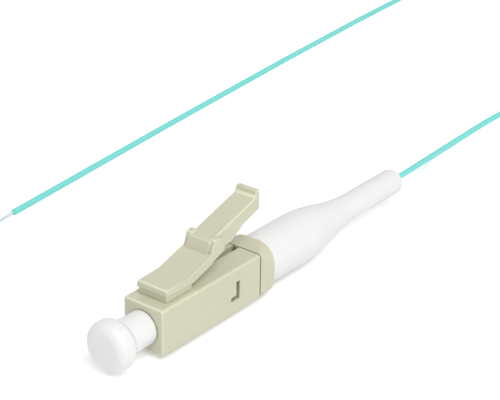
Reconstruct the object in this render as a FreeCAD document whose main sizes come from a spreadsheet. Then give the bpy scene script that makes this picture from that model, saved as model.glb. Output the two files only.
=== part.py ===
import FreeCAD, Part
import Sketcher
import math
import os
import re

# Fibre-optic plug of the small square kind with a 1.25 mm ferrule, on a tight-buffered
# pigtail. Each piece of the plug is drawn in the plug's own frame: X runs back along the
# fibre from the front face of the housing, Y across it and Z up from the fibre axis. The
# placement of each piece then stands that frame on Z = 0, centred under the plug's box.
# The pigtail is routed in the part's own frame. Lengths are in millimetres.

SIZES = {
    # plug housing
    "plug_width": 4.5,
    "housing_length": 13.45,
    "housing_corner": 0.33,
    "face_edge": 0.3,
    "front_wall": 1.5,
    "nose_hole_dia": 1.9,
    "chamber_dia": 2.9,
    "chamber_end": 8.0,
    "rear_pocket_width": 3.4,
    "window_front": 9.25,
    "window_rear": 10.45,
    "window_low": 0.85,
    "window_high": 0.95,
    "channel_front": 8.6,
    "channel_side": 0.15,
    "channel_width": 0.75,
    "channel_depth": 0.4,
    "notch_length": 0.42,
    # latch: root block on its neck, hinge line, flexure, lever, ears, stop and finger tab
    "root_width": 3.36,
    "root_front": 1.15,
    "root_height": 1.3,
    "root_bend": 4.0,
    "root_rear": 4.6,
    "root_sink": 0.2,
    "root_fillet": 0.35,
    "root_round": 0.25,
    "neck_height": 0.6,
    "neck_inset": 0.12,
    "lip_over": 5.5,
    "lip_under": 8.0,
    "hinge_along": 4.95,
    "hinge_radius": 0.45,
    "hinge_gap": 0.02,
    "lever_width": 2.5,
    "lever_edge": 0.22,
    "top_slope": 16.5,
    "under_slope": 18.6,
    "step_front": 7.05,
    "step_height": 1.1,
    "step_run": 0.4,
    "lever_end": 14.52,
    "lever_depth": 1.4,
    "tab_rise": 0.42,
    "tab_thickness": 0.53,
    "tab_curve": 0.7,
    "ear_front": 7.2,
    "ear_rear": 9.05,
    "ear_height": 3.62,
    "ear_fall": 0.75,
    "ear_crown": 0.75,
    "ear_round": 0.4,
    "ear_ramp": 0.4,
    "ear_bite": 0.35,
    "stop_front": 9.4,
    "stop_rear": 10.5,
    "stop_height": 2.25,
    "stop_slant": 1.7,
    "moulded_edge": 0.12,
    # rear body
    "seam_gap": 0.1,
    "seat_face": 8.2,
    "pocket_fit": 0.05,
    "collar_length": 1.55,
    "collar_radius": 2.72,
    "collar_corner": 0.5,
    "collar_bend": 2.1,
    "collar_rim": 0.1,
    "barrel_dia": 3.1,
    "barrel_length": 4.7,
    "barrel_bore": 1.3,
    "barrel_rib": 0.12,
    "rib_count": 3,
    "rib_pitch": 1.3,
    "rib_end": 0.65,
    "rib_slope": 0.32,
    "tail_bore": 1.9,
    "tail_bore_end": 12.8,
    "tooth_fit": 0.06,
    "tooth_rear_gap": 0.35,
    "tooth_low_gap": 0.33,
    "tooth_recess": 0.1,
    # ferrule, its holder, its spring and the guide tube
    "ferrule_dia": 1.25,
    "ferrule_reach": 4.1,
    "ferrule_tail": 2.6,
    "ferrule_lead": 0.2,
    "glue_gap": 0.01,
    "stop_gap": 0.02,
    "holder_flats": 2.4,
    "holder_thickness": 1.4,
    "holder_tail_dia": 1.5,
    "holder_tail_end": 9.6,
    "spring_wire": 0.26,
    "spring_mean_dia": 2.1,
    "spring_turns": 7,
    "tube_dia": 0.9,
    "tube_front": 4.6,
    "tube_reach": 1.5,
    # fibre
    "glass_dia": 0.125,
    "coating_dia": 0.25,
    "buffer_dia": 0.6,
    "buffer_fit": 0.03,
    "held_buffer_reach": 1.9,
    "boot_buffer_gap": 1.6,
    # boot
    "boot_gap": 0.03,
    "boot_radius": 2.6,
    "boot_base_length": 5.9,
    "boot_shoulder_radius": 2.53,
    "boot_taper_length": 10.2,
    "boot_neck_radius": 1.34,
    "boot_tail_length": 8.1,
    "boot_tip_round": 0.95,
    "boot_base_round": 0.15,
    "boot_fit": 0.04,
    "boot_pocket_gap": 0.4,
    # dust cap
    "cap_gap": 0.03,
    "cap_length": 5.05,
    "cap_tube_radius": 1.66,
    "cap_knob_radius": 2.33,
    "cap_knob_rear": 3.45,
    "cap_neck": 2.3,
    "cap_face_round": 0.85,
    "cap_fit": 0.03,
    "cap_bore_depth": 4.35,
    # put-away coil and its tie
    "coil_mean_radius": 5.4,
    "coil_columns": 4,
    "coil_rows": 6,
    "tie_thickness": 0.15,
    "tie_gap": 0.05,
    "tie_width": 2.4,
    "bared_length": 7.0,
    "tip_rest": 0.15,
}

# Places that follow from the sizes, so that the rear of the plug moves with its housing.
PLACES = {
    "collar_end": "housing_length + seam_gap + collar_length",
    "barrel_end": "collar_end + barrel_length",
    "boot_pocket_end": "barrel_end + boot_pocket_gap",
    "boot_shoulder": "collar_end + boot_base_length",
    "boot_neck": "boot_shoulder + boot_taper_length",
    "boot_end": "boot_neck + boot_tail_length",
    "tube_rear": "collar_end + tube_reach",
    "held_buffer_end": "collar_end + held_buffer_reach",
    "boot_buffer_start": "held_buffer_end + boot_buffer_gap",
}

# The pigtail's centre line, from inside the boot's tip to the coil.
ROUTE_TO_COIL = [
    (19.375, 0.0, 2.72),
    (24.6, 0.02, 2.72),
    (29.0, 0.86, 2.12),
    (33.6, 2.43, 0.8),
    (38.1, 3.12, 0.3),
    (52.4, 3.56, 0.3),
    (58.4, 1.75, 0.3),
    (62.2, -1.54, 0.45),
]

# From the coil round to the stripped end.
ROUTE_FROM_COIL = [
    (75.85, -0.5, 1.0),
    (82.9, 8.0, 0.3),
    (91.4, 14.5, 0.3),
    (96.9, 23.5, 0.3),
    (97.4, 33.5, 0.3),
    (91.4, 39.3, 0.3),
    (-5.175, 28.21, 0.3),
]

COIL_CENTRE = (68.9, 1.0)
TIE_ANGLE = 215.0

# From the ferrule's face to the bared fibre's end.
PIGTAIL_LENGTH = 1000.0

# Places that several pieces share, as expressions in the sheet's aliases.
PLUG_FACE = "(cap_length - boot_end) / 2"
CORD_FACE = f"{ROUTE_TO_COIL[0][0]} - {PLUG_FACE}"
DECK = "plug_width / 2"
BUFFER_BORE = "buffer_dia / 2 + buffer_fit"
COLLAR_FACE = "housing_length + seam_gap"
HOLDER_FRONT = "front_wall + stop_gap"
HOLDER_STEP = "front_wall + stop_gap + holder_thickness"
FERRULE_SEAT = "ferrule_tail + glue_gap"
COIL_BASE = "tie_thickness + tie_gap"
COIL_WIDTH = "coil_columns * buffer_dia"
COIL_HEIGHT = "coil_rows * buffer_dia"
HINGE_UP = (
    "plug_width / 2 + root_height + (hinge_along - root_bend) * tan(top_slope)"
    " - hinge_radius / cos(top_slope)"
)

# Share of the shorter run that an arc of the pigtail takes up.
ARC_SHARE = 0.45

# Sides of the spring wire's section: few, because a helix of round wire is heavy to mesh.
WIRE_SIDES = 8

# Largest share by which a tube's volume may miss its section times its length.
VOLUME_SHARE = 0.01

# Smallest length that counts when edges are picked by their place.
NEAR = 1e-4

# Least volume by which a feature has to change its body.
NO_CHANGE = 1e-6

# Sides of the metal holder's flange.
HOLDER_SIDES = 6

doc = FreeCAD.newDocument("fibre_plug")


def make_sheet():
    """Spreadsheet that holds every driving size and every place under its own alias."""
    sheet = doc.addObject("Spreadsheet::Sheet", "Sizes")
    cells = {**SIZES, **{alias: f"={place}" for alias, place in PLACES.items()}}
    for row, (alias, cell) in enumerate(cells.items(), start=1):
        sheet.set(f"A{row}", alias)
        sheet.set(f"B{row}", str(cell))
        sheet.setAlias(f"B{row}", alias)
    doc.recompute()
    return sheet


sheet = make_sheet()


def size(expression):
    """Number that an expression in the sheet's aliases stands for now."""
    value = sheet.evalExpression(expression)
    return float(getattr(value, "Value", value))


def bound(expression):
    """The same expression, as an object outside the sheet has to write it."""
    aliases = [*SIZES, *PLACES]
    return re.sub(
        "[a-z_]+", lambda word: f"Sizes.{word[0]}" if word[0] in aliases else word[0], expression
    )


def new_body(label):
    """Body of one piece, placed in the part's own frame."""
    body = doc.addObject("PartDesign::Body", label)
    body.Label = label
    return body


def plug_body(label):
    """Body of one piece of the plug, in the plug's frame with the fibre axis lifted."""
    body = new_body(label)
    body.setExpression("Placement.Base.x", bound(PLUG_FACE))
    body.setExpression("Placement.Base.z", bound("collar_radius"))
    return body


def origin_plane(body, role):
    """One of the three planes of a body's own origin."""
    return next(item for item in body.Origin.OriginFeatures if item.Role == role)


def new_sketch(body, plane, offset="0"):
    """Sketch on an origin plane of its own body, moved along the plane's normal."""
    sketch = body.newObject("Sketcher::SketchObject", f"{body.Label}_sketch")
    sketch.AttachmentSupport = [(origin_plane(body, plane), "")]
    sketch.MapMode = "FlatFace"
    sketch.setExpression("AttachmentOffset.Base.z", bound(offset))
    return sketch


def pin_point(sketch, index, end, across, up):
    """Tie one end of one edge to its two coordinates."""
    for kind, expression in (("DistanceX", across), ("DistanceY", up)):
        value = size(expression)
        constraint = sketch.addConstraint(Sketcher.Constraint(kind, -1, 1, index, end, value))
        sketch.setExpression(f"Constraints[{constraint}]", bound(expression))


def add_arc(sketch, start, end, radius):
    """Arc from start to end; it turns left for a radius above zero, right below it."""
    chord = end - start
    middle = (start + end) * 0.5
    normal = FreeCAD.Vector(-chord.y, chord.x, 0).normalize()
    rise = math.sqrt(max(radius * radius - chord.Length**2 / 4, 0))
    centre = middle + normal * math.copysign(rise, radius)
    angles = [math.atan2(point.y - centre.y, point.x - centre.x) for point in (start, end)]
    if radius < 0:
        angles.reverse()
    circle = Part.Circle(centre, FreeCAD.Vector(0, 0, 1), abs(radius))
    return sketch.addGeometry(Part.ArcOfCircle(circle, *angles), False)


def outline(sketch, corners):
    """Closed outline through corners (across, up[, radius of the arc to the next corner])."""
    points = [FreeCAD.Vector(size(corner[0]), size(corner[1]), 0) for corner in corners]
    ends = []
    for number, corner in enumerate(corners):
        start, end = points[number], points[(number + 1) % len(points)]
        if len(corner) == 2:
            index = sketch.addGeometry(Part.LineSegment(start, end), False)
            ends.append((index, 1, 2))
        else:
            bend = size(corner[2])
            index = add_arc(sketch, start, end, bend)
            ends.append((index, 1, 2) if bend > 0 else (index, 2, 1))
    for number, (index, first, last) in enumerate(ends):
        following = ends[(number + 1) % len(ends)]
        sketch.addConstraint(
            Sketcher.Constraint("Coincident", index, last, following[0], following[1])
        )
        pin_point(sketch, index, first, corners[number][0], corners[number][1])
        if len(corners[number]) == 3:
            tie_radius(sketch, index, corners[number][2])
    return sketch


def tie_radius(sketch, index, expression):
    """Tie an arc's or circle's radius to the sheet, whichever way the arc turns."""
    value = abs(size(expression))
    constraint = sketch.addConstraint(Sketcher.Constraint("Radius", index, value))
    sketch.setExpression(f"Constraints[{constraint}]", f"abs({bound(expression)})")


def circle(sketch, radius, across="0", up="0"):
    """Circle of the given radius."""
    centre = FreeCAD.Vector(size(across), size(up), 0)
    ring = Part.Circle(centre, FreeCAD.Vector(0, 0, 1), size(radius))
    index = sketch.addGeometry(ring, False)
    pin_point(sketch, index, 3, across, up)
    tie_radius(sketch, index, radius)
    return sketch


def rectangle(sketch, left, low, right, high):
    """Upright rectangle between two corners."""
    return outline(sketch, [(left, low), (right, low), (right, high), (left, high)])


def extrude(body, kind, sketch, length, reversed_way=False, midplane=False):
    """Pad or Pocket of a sketch, bound to its length."""
    feature = body.newObject(f"PartDesign::{kind}", f"{body.Label}_{kind.lower()}")
    feature.Profile = (sketch, [""])
    feature.setExpression("Length", bound(length))
    feature.Reversed = reversed_way
    if midplane:
        feature.SideType = "Symmetric"
    sketch.Visibility = False
    return finish_feature(body, feature)


def turn(body, kind, sketch, angle="360", about="H_Axis"):
    """Revolution or Groove of a sketch about one of its own axes."""
    feature = body.newObject(f"PartDesign::{kind}", f"{body.Label}_{kind.lower()}")
    feature.Profile = (sketch, [""])
    feature.ReferenceAxis = (sketch, [about])
    feature.setExpression("Angle", bound(angle))
    return finish_feature(body, feature)


def finish_feature(body, feature):
    """Recompute and refuse a feature that failed or that changed nothing."""
    before = feature.BaseFeature.Shape.Volume if feature.BaseFeature else 0
    doc.recompute()
    if "Invalid" in feature.State or "Error" in feature.State or feature.Shape.isNull():
        raise RuntimeError(f"{feature.Label} failed")
    if abs(feature.Shape.Volume - before) < NO_CHANGE:
        raise RuntimeError(f"{feature.Label} changed nothing")
    return feature


def round_edges(body, radius, chosen):
    """Fillet on every edge of the body for which chosen(edge) holds."""
    base = body.Tip
    names = [f"Edge{n}" for n, edge in enumerate(base.Shape.Edges, start=1) if chosen(edge)]
    if not names:
        raise RuntimeError(f"{body.Label} has no edge to round")
    feature = body.newObject("PartDesign::Fillet", f"{body.Label}_fillet")
    feature.Base = (base, names)
    feature.setExpression("Radius", bound(radius))
    return finish_feature(body, feature)


def bevel_edges(body, width):
    """Chamfer on every edge of the body."""
    base = body.Tip
    feature = body.newObject("PartDesign::Chamfer", f"{body.Label}_chamfer")
    feature.Base = (base, [f"Edge{n}" for n in range(1, len(base.Shape.Edges) + 1)])
    feature.setExpression("Size", bound(width))
    finish_feature(body, feature)


def flexure_top(along):
    """Height of the flexure's upper face at a place along the plug."""
    return f"{DECK} + root_height + ({along} - root_bend) * tan(top_slope)"


def flexure_under(along):
    """Height of the flexure's lower face, which is tangent to the hinge cylinder."""
    drop = "hinge_radius / cos(under_slope)"
    return f"{HINGE_UP} - {drop} + ({along} - hinge_along) * tan(under_slope)"


def lever_top(along):
    """Height of the finger lever's upper face."""
    return f"{flexure_top(along)} + step_height - step_run * tan(top_slope)"


def lever_under(along):
    """Height of the finger lever's lower face."""
    return f"{lever_top(along)} - lever_depth"


def on_hinge(radius, angle):
    """Point of a circle about the hinge line, at an angle from the +X direction."""
    across = f"hinge_along + ({radius}) * cos({angle})"
    return across, f"{HINGE_UP} + ({radius}) * sin({angle})"


def s_curve(start, end, turn_first):
    """Two equal arcs that leave start and reach end level; turn_first is their first turn."""
    run = f"({end[0]} - ({start[0]}))"
    rise = f"abs({end[1]} - ({start[1]}))"
    radius = f"({run} ^ 2 + {rise} ^ 2) / (4 * {rise})"
    middle = (f"({start[0]} + {end[0]}) / 2", f"({start[1]} + {end[1]}) / 2")
    first, second = (f"{turn_first} * {radius}", f"{-turn_first} * {radius}")
    return [(*start, first), (*middle, second)]


def along_plug(edge):
    """True for a straight edge that runs along the plug."""
    if not isinstance(edge.Curve, Part.Line):
        return False
    return abs(edge.Curve.Direction.x) > 1 - NEAR


def plug_housing():
    """Square moulded housing with its latch root, snap windows, chamber and rear pocket."""
    body = plug_body("plug_housing")
    section = rectangle(new_sketch(body, "YZ_Plane"), f"-{DECK}", f"-{DECK}", DECK, DECK)
    extrude(body, "Pad", section, "housing_length")
    round_edges(body, "housing_corner", along_plug)
    round_edges(body, "face_edge", lambda edge: edge.BoundBox.XMax < NEAR)
    add_latch_root(body)
    cut_chamber(body)
    pocket = "rear_pocket_width / 2"
    square = new_sketch(body, "YZ_Plane", "housing_length")
    rectangle(square, f"-{pocket}", f"-{pocket}", pocket, pocket)
    extrude(body, "Pocket", square, "housing_length - chamber_end")
    window = new_sketch(body, "XZ_Plane")
    rectangle(window, "window_front", "-window_low", "window_rear", "window_high")
    extrude(body, "Pocket", window, "plug_width * 2", midplane=True)
    cut_channel(body)
    return body


def cut_channel(body):
    """Channel in the deck below the lever, with a through notch at its open rear end."""
    far = "channel_side + channel_width"
    beyond = "housing_length + notch_length"
    channel = new_sketch(body, "XY_Plane", f"{DECK} - channel_depth")
    rectangle(channel, "channel_front", "channel_side", beyond, far)
    extrude(body, "Pocket", channel, "channel_depth * 2", reversed_way=True)
    notch = new_sketch(body, "XY_Plane")
    rectangle(notch, "housing_length - notch_length", "channel_side", beyond, far)
    extrude(body, "Pocket", notch, "plug_width", reversed_way=True)


def add_latch_root(body):
    """Block on a neck on the deck, hollowed behind for the hinge cylinder."""
    seat = "hinge_radius + hinge_gap"
    sunk = f"{DECK} - root_sink"
    sketch = new_sketch(body, "XZ_Plane")
    outline(
        sketch,
        [
            ("root_front", sunk),
            ("root_rear", sunk),
            ("root_rear", f"{DECK} + root_fillet"),
            (*on_hinge(seat, "270 - lip_under"), f"-({seat})"),
            (*on_hinge(seat, "180"), f"-({seat})"),
            on_hinge(seat, "90 + top_slope + lip_over"),
            ("root_bend", f"{DECK} + root_height"),
            ("root_front", f"{DECK} + root_height"),
        ],
    )
    extrude(body, "Pad", sketch, "root_width", midplane=True)
    crown, back = size(f"{DECK} + root_height"), size("root_bend")

    def rim(edge):
        box = edge.BoundBox
        return box.ZMin > crown - NEAR and box.XMax < back + NEAR and box.XMin < back - NEAR

    round_edges(body, "root_round", rim)
    cut_neck(body)


def cut_neck(body):
    """Undercut round the foot of the latch's block, at its front and both sides."""
    side, inner = "root_width / 2", "root_width / 2 - neck_inset"
    before = "root_front - neck_inset"
    foot = "root_front + neck_inset"
    neck = new_sketch(body, "XY_Plane", DECK)
    outline(
        neck,
        [
            (before, f"-{side} - neck_inset"),
            ("root_rear", f"-{side} - neck_inset"),
            ("root_rear", f"-({inner})"),
            (foot, f"-({inner})"),
            (foot, inner),
            ("root_rear", inner),
            ("root_rear", f"{side} + neck_inset"),
            (before, f"{side} + neck_inset"),
        ],
    )
    extrude(body, "Pocket", neck, "neck_height", reversed_way=True)


def cut_chamber(body):
    """Stepped round hole: the ferrule's opening in the front wall and the spring chamber."""
    sketch = new_sketch(body, "XZ_Plane")
    outline(
        sketch,
        [
            ("-front_wall", "0"),
            ("chamber_end + pocket_fit", "0"),
            ("chamber_end + pocket_fit", "chamber_dia / 2"),
            ("front_wall", "chamber_dia / 2"),
            ("front_wall", "nose_hole_dia / 2"),
            ("-front_wall", "nose_hole_dia / 2"),
        ],
    )
    turn(body, "Groove", sketch)


def latch_lever():
    """Sprung lever: hinge root, flexure, step with two locking ears, stop and finger tab."""
    body = plug_body("latch_lever")
    extrude(body, "Pad", handle_profile(body), "lever_width", midplane=True)
    flank, foot = size("lever_width") / 2, size("step_front + step_run")

    def upper_edge(edge):
        box = edge.BoundBox
        middle = size(f"{lever_top(box.Center.x)} - lever_depth / 2")
        outer = abs(abs(box.Center.y) - flank) < NEAR and box.XMax > foot + NEAR
        return outer and box.Center.z > middle

    round_edges(body, "lever_edge", upper_edge)
    extrude(body, "Pad", flexure_profile(body), "root_width", midplane=True)
    ear = extrude(body, "Pad", ear_profile(body), "(root_width - lever_width) / 2 + ear_bite")
    mirror = body.newObject("PartDesign::Mirrored", "far_ear")
    mirror.Originals = [ear]
    mirror.MirrorPlane = (origin_plane(body, "XZ_Plane"), [""])
    body.Tip = mirror
    finish_feature(body, mirror)
    outside, foot = size("root_width") / 2, size(flexure_top("ear_front"))

    def ear_edge(edge):
        box = edge.BoundBox
        return abs(abs(box.Center.y) - outside) < NEAR and box.ZMax > foot + NEAR

    round_edges(body, "moulded_edge", ear_edge)
    return body


def flexure_profile(body):
    """Side view of the thin arm, with the half cylinder that turns in the latch root."""
    stop = "(step_front + step_run)"
    return outline(
        new_sketch(body, "XZ_Plane"),
        [
            on_hinge("hinge_radius", "under_slope - 90"),
            (stop, flexure_under(stop)),
            (stop, flexure_top(stop)),
            (*on_hinge("hinge_radius", "90 + top_slope"), "hinge_radius"),
            (*on_hinge("hinge_radius", "180"), "hinge_radius"),
        ],
    )


def ear_profile(body):
    """Side view of a locking ear: steep front, rounded crown, falling top, upright rear."""
    crown = f"{DECK} + ear_height"
    return outline(
        new_sketch(body, "XZ_Plane", "lever_width / 2 - ear_bite"),
        [
            ("ear_front", flexure_under("ear_front")),
            ("ear_rear", flexure_under("ear_rear")),
            ("ear_rear", f"{crown} - ear_fall"),
            ("ear_front + ear_crown", crown, "ear_round"),
            ("ear_front + ear_ramp", f"{crown} - ear_round"),
            ("ear_front", flexure_top("ear_front")),
        ],
    )


def handle_profile(body):
    """Side view of the finger lever with its deeper stop below and its upturned tab."""
    foot = "(step_front + step_run)"
    tab_face = "(lever_end - tab_thickness)"
    curve_run = "tab_curve * tan((90 - top_slope) / 2)"
    tab_foot = f"({tab_face} - {curve_run} * cos(top_slope))"
    tab_top = f"{lever_top('lever_end')} + tab_rise"
    behind_stop = "(stop_rear + stop_slant)"
    return outline(
        new_sketch(body, "XZ_Plane"),
        [
            ("stop_front", flexure_under("stop_front")),
            ("stop_rear", f"{DECK} + stop_height"),
            (behind_stop, lever_under(behind_stop)),
            ("lever_end", lever_under("lever_end")),
            ("lever_end", tab_top),
            (tab_face, tab_top),
            (tab_face, f"{lever_top(tab_face)} + {curve_run}", "-tab_curve"),
            (tab_foot, lever_top(tab_foot)),
            (foot, lever_top(foot)),
            ("step_front", flexure_top("step_front")),
            ("step_front", flexure_under("step_front")),
        ],
    )


def rear_body():
    """Rear body: plug with snap teeth, square-to-round collar and ribbed barrel."""
    body = plug_body("rear_body")
    half = "(rear_pocket_width / 2 - pocket_fit)"
    square = new_sketch(body, "YZ_Plane", "seat_face")
    rectangle(square, f"-{half}", f"-{half}", half, half)
    extrude(body, "Pad", square, f"{COLLAR_FACE} - seat_face")
    teeth = rectangle(
        new_sketch(body, "XZ_Plane"),
        "window_front + tooth_fit",
        "tooth_low_gap - window_low",
        "window_rear - tooth_rear_gap",
        "window_high - tooth_fit",
    )
    extrude(body, "Pad", teeth, "plug_width - 2 * tooth_recess", midplane=True)
    loft = body.newObject("PartDesign::AdditiveLoft", "collar_loft")
    front = rounded_square(body, COLLAR_FACE, DECK, "collar_corner")
    rear = rounded_square(body, "collar_end", "collar_radius", "collar_bend")
    loft.Profile = (front, [""])
    loft.Sections = [(rear, [""])]
    finish_feature(body, loft)
    back = size("collar_end")
    round_edges(body, "collar_rim", lambda edge: edge.BoundBox.XMin > back - NEAR)
    turn(body, "Revolution", barrel_profile(body))
    turn(body, "Groove", tail_bore_profile(body))
    return body


def corner_pairs(wide, narrow):
    """Ends of the four rounded corners, anticlockwise, from the two sizes of one corner."""
    pairs = []
    for across, up in ((1, -1), (1, 1), (-1, 1), (-1, -1)):
        beside = (f"{across} * ({wide})", f"{up} * ({narrow})")
        above = (f"{across} * ({narrow})", f"{up} * ({wide})")
        pairs.append((beside, above) if across * up > 0 else (above, beside))
    return pairs


def rounded_square(body, along, half, corner):
    """Square with rounded corners across the plug at a place along it."""
    corners = []
    for start, end in corner_pairs(half, f"{half} - {corner}"):
        corners += [(*start, corner), end]
    return outline(new_sketch(body, "YZ_Plane", along), corners)


def barrel_profile(body):
    """Half section of the rear barrel, with ribs that hold the boot."""
    tip = "barrel_dia / 2"
    root = f"{tip} - barrel_rib"
    corners = [("collar_end", "0"), ("barrel_end", "0"), ("barrel_end", root)]
    for rib in range(int(size("rib_count"))):
        rear = f"barrel_end - rib_end - {rib} * rib_pitch"
        front = f"{rear} - rib_slope"
        corners += [(rear, root), (front, tip), (f"{front} - barrel_rib", tip),
                    (f"{front} - barrel_rib", root)]
    corners.append(("collar_end", root))
    return outline(new_sketch(body, "XZ_Plane"), corners)


def tail_bore_profile(body):
    """Half section of the stepped hole for the holder's tail and the guide tube."""
    return outline(
        new_sketch(body, "XZ_Plane"),
        [
            ("seat_face - pocket_fit", "0"),
            ("barrel_end + pocket_fit", "0"),
            ("barrel_end + pocket_fit", "barrel_bore / 2"),
            ("tail_bore_end", "barrel_bore / 2"),
            ("tail_bore_end", "tail_bore / 2"),
            ("seat_face - pocket_fit", "tail_bore / 2"),
        ],
    )


def boot():
    """Soft strain relief: pocket over the barrel, S-shaped shoulder, slim round tail."""
    body = plug_body("boot")
    base = "(collar_end + boot_gap)"
    pocket = "barrel_dia / 2 + boot_fit"
    shoulder = ("boot_shoulder", "boot_shoulder_radius")
    neck = ("boot_neck", "boot_neck_radius")
    tip = "boot_end - boot_tip_round"
    corners = [
        (base, pocket),
        (base, "boot_radius - boot_base_round", "-boot_base_round"),
        (f"{base} + boot_base_round", "boot_radius"),
        *s_curve(shoulder, neck, -1),
        (*neck,),
        (tip, "boot_neck_radius", "-boot_tip_round"),
        ("boot_end", "boot_neck_radius - boot_tip_round"),
        ("boot_end", BUFFER_BORE),
        (f"boot_pocket_end + {pocket}", BUFFER_BORE),
        ("boot_pocket_end", pocket),
    ]
    turn(body, "Revolution", outline(new_sketch(body, "XZ_Plane"), corners))
    return body


def dust_cap():
    """Push-on cap: tube over the ferrule, flared neck and round knob with a flat face."""
    body = plug_body("dust_cap")
    bore = "ferrule_dia / 2 + cap_fit"
    tube = ("-cap_neck", "cap_tube_radius")
    knob = ("-cap_knob_rear", "cap_knob_radius")
    corners = [
        ("-cap_gap", bore),
        ("-cap_gap", "cap_tube_radius"),
        *s_curve(tube, knob, -1),
        knob,
        ("cap_face_round - cap_length", "cap_knob_radius", "cap_face_round"),
        ("-cap_length", "cap_knob_radius - cap_face_round"),
        ("-cap_length", "0"),
        ("-cap_bore_depth", "0"),
        ("-cap_bore_depth", bore),
    ]
    turn(body, "Revolution", outline(new_sketch(body, "XZ_Plane"), corners))
    return body


def ferrule():
    """Ceramic ferrule with a bevelled nose, a fibre bore and a lead-in cone behind."""
    body = plug_body("ferrule")
    skin, bore = "ferrule_dia / 2", "glass_dia / 2 + glue_gap"
    corners = [
        ("-ferrule_reach", bore),
        ("ferrule_tail - ferrule_lead", bore),
        ("ferrule_tail", f"{bore} + ferrule_lead"),
        ("ferrule_tail", f"{skin} - ferrule_lead / 2"),
        ("ferrule_tail - ferrule_lead / 2", skin),
        ("ferrule_lead * 1.5 - ferrule_reach", skin),
        ("-ferrule_reach", f"{skin} - ferrule_lead"),
    ]
    turn(body, "Revolution", outline(new_sketch(body, "XZ_Plane"), corners))
    return body


def ferrule_holder():
    """Metal holder: six-sided flange that takes the spring, and a tail behind it."""
    body = plug_body("ferrule_holder")
    flange = new_sketch(body, "YZ_Plane", HOLDER_FRONT)
    reach = f"holder_flats / 2 / cos(180 / {HOLDER_SIDES})"
    angles = [360 * number / HOLDER_SIDES for number in range(HOLDER_SIDES)]
    outline(flange, [(f"{reach} * cos({turned})", f"{reach} * sin({turned})")
                     for turned in angles])
    extrude(body, "Pad", flange, "holder_thickness")
    tail = circle(new_sketch(body, "YZ_Plane", HOLDER_STEP), "holder_tail_dia / 2")
    extrude(body, "Pad", tail, f"holder_tail_end - ({HOLDER_STEP})")
    socket = "ferrule_dia / 2 + glue_gap"
    tube = "tube_dia / 2 + glue_gap"
    corners = [
        ("front_wall", "0"),
        ("holder_tail_end + glue_gap", "0"),
        ("holder_tail_end + glue_gap", tube),
        ("tube_front - glue_gap", tube),
        ("tube_front - glue_gap", BUFFER_BORE),
        (FERRULE_SEAT, BUFFER_BORE),
        (FERRULE_SEAT, socket),
        ("front_wall", socket),
    ]
    turn(body, "Groove", outline(new_sketch(body, "XZ_Plane"), corners))
    return body


def ferrule_spring():
    """Wire spring between the holder's flange and the rear body's seat, its wire with few sides."""
    body = plug_body("ferrule_spring")
    first = f"{HOLDER_STEP} + stop_gap + spring_wire / 2"
    last = "seat_face - stop_gap - spring_wire / 2"
    corners = []
    for number in range(WIRE_SIDES):
        angle = 360 * (number + 0.5) / WIRE_SIDES
        across = f"{first} + spring_wire / 2 * cos({angle})"
        corners.append((across, f"(spring_mean_dia + spring_wire * sin({angle})) / 2"))
    wire = outline(new_sketch(body, "XZ_Plane"), corners)
    helix = body.newObject("PartDesign::AdditiveHelix", "spring_helix")
    helix.Profile = (wire, [""])
    helix.ReferenceAxis = (wire, ["H_Axis"])
    helix.Mode = "pitch-turns-angle"
    helix.setExpression("Turns", bound("spring_turns"))
    helix.setExpression("Pitch", bound(f"({last} - ({first})) / spring_turns"))
    finish_feature(body, helix)
    return body


def round_piece(label, front, rear, inner, outer):
    """Plain round rod, or a tube where it has an inner radius, along the fibre axis."""
    body = plug_body(label)
    section = rectangle(new_sketch(body, "XZ_Plane"), front, inner, rear, outer)
    turn(body, "Revolution", section)
    return body


def cord_coil():
    """Outer shape of the put-away turns, as one ring."""
    body = new_body("cord_coil")
    body.Placement.Base = FreeCAD.Vector(*COIL_CENTRE, 0)
    inner = f"coil_mean_radius - {COIL_WIDTH} / 2"
    outer = f"coil_mean_radius + {COIL_WIDTH} / 2"
    section = rectangle(
        new_sketch(body, "XZ_Plane"), inner, COIL_BASE, outer, f"{COIL_BASE} + {COIL_HEIGHT}"
    )
    turn(body, "Revolution", section, about="V_Axis")
    bevel_edges(body, "buffer_dia / 2")
    return body


def coil_tie():
    """Thin band round the coil's section that holds its turns together."""
    body = new_body("coil_tie")
    turned = FreeCAD.Rotation(FreeCAD.Vector(0, 0, 1), TIE_ANGLE)
    body.Placement = FreeCAD.Placement(FreeCAD.Vector(*COIL_CENTRE, 0), turned)
    sketch = new_sketch(body, "XZ_Plane")
    for gap in ("tie_gap + tie_thickness", "tie_gap"):
        spread = f"{COIL_WIDTH} / 2 + {gap}"
        rectangle(
            sketch,
            f"coil_mean_radius - ({spread})",
            f"{COIL_BASE} - ({gap})",
            f"coil_mean_radius + {spread}",
            f"{COIL_BASE} + {COIL_HEIGHT} + {gap}",
        )
    turn(body, "Revolution", sketch, "tie_width / coil_mean_radius * 180 / pi", "V_Axis")
    return body


def rounded_path(points):
    """Straight runs joined by tangent arcs, each as large as its two runs allow."""
    corners = [FreeCAD.Vector(*point) for point in points]
    edges, radii, here = [], [], corners[0]
    for before, corner, after in zip(corners, corners[1:], corners[2:]):
        inward, onward = (before - corner).normalize(), (after - corner).normalize()
        half_turn = (math.pi - inward.getAngle(onward)) / 2
        reach = ARC_SHARE * min(corner.distanceToPoint(before), corner.distanceToPoint(after))
        radius = reach / math.tan(half_turn)
        bisector = (inward + onward).normalize()
        depth = radius / math.cos(half_turn) - radius
        start, end = corner + inward * reach, corner + onward * reach
        edges.append(Part.LineSegment(here, start).toShape())
        edges.append(Part.Arc(start, corner + bisector * depth, end).toShape())
        radii.append(radius)
        here = end
    edges.append(Part.LineSegment(here, corners[-1]).toShape())
    return Part.Wire(edges), radii


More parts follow.
